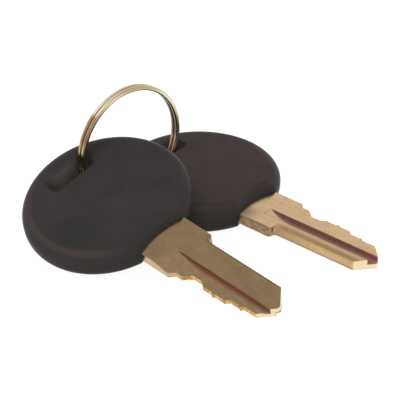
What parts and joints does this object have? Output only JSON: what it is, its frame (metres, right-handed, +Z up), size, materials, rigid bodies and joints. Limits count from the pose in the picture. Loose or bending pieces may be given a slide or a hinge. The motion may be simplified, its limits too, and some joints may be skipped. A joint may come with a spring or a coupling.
{
  "type": "pair of panel lock keys",
  "caption": "Keys for a panel or cabinet cam lock, with thick round moulded plastic heads and cut brass blades, hung on a split ring.",
  "frame": {"origin": "on the table under the middle of the box round the whole set, with the keys lying down", "axes": "+Z up from the table, +X the way that the blades point and along the ring's own axis, +Y from the front key to the rear key"},
  "size_m": [0.0554, 0.0528, 0.0225],
  "materials": {
    "head_plastic": "black moulded plastic, satin with soft highlights",
    "blade_brass": "pale stamped and milled brass with fine brushing along the blade",
    "ring_steel": "bright plated spring wire"
  },
  "bodies": {
    "split_ring": {"split_ring": "ring_steel"},
    "front_key": {"front_key_blade": "blade_brass", "front_key_head": "head_plastic"},
    "rear_key": {"rear_key_blade": "blade_brass", "rear_key_head": "head_plastic"}
  },
  "joints": [
    {"name": "front_key_travel", "type": "hinge", "parent": "split_ring", "child": "front_key", "pos_m": [-0.02117, 0.00121, 0.01126], "axis": [-1, 0, 0], "range_deg": [0, 90]},
    {"name": "rear_key_travel", "type": "hinge", "parent": "split_ring", "child": "rear_key", "pos_m": [-0.02117, 0.00121, 0.01126], "axis": [1, 0, 0], "range_deg": [0, 90]}
  ]
}
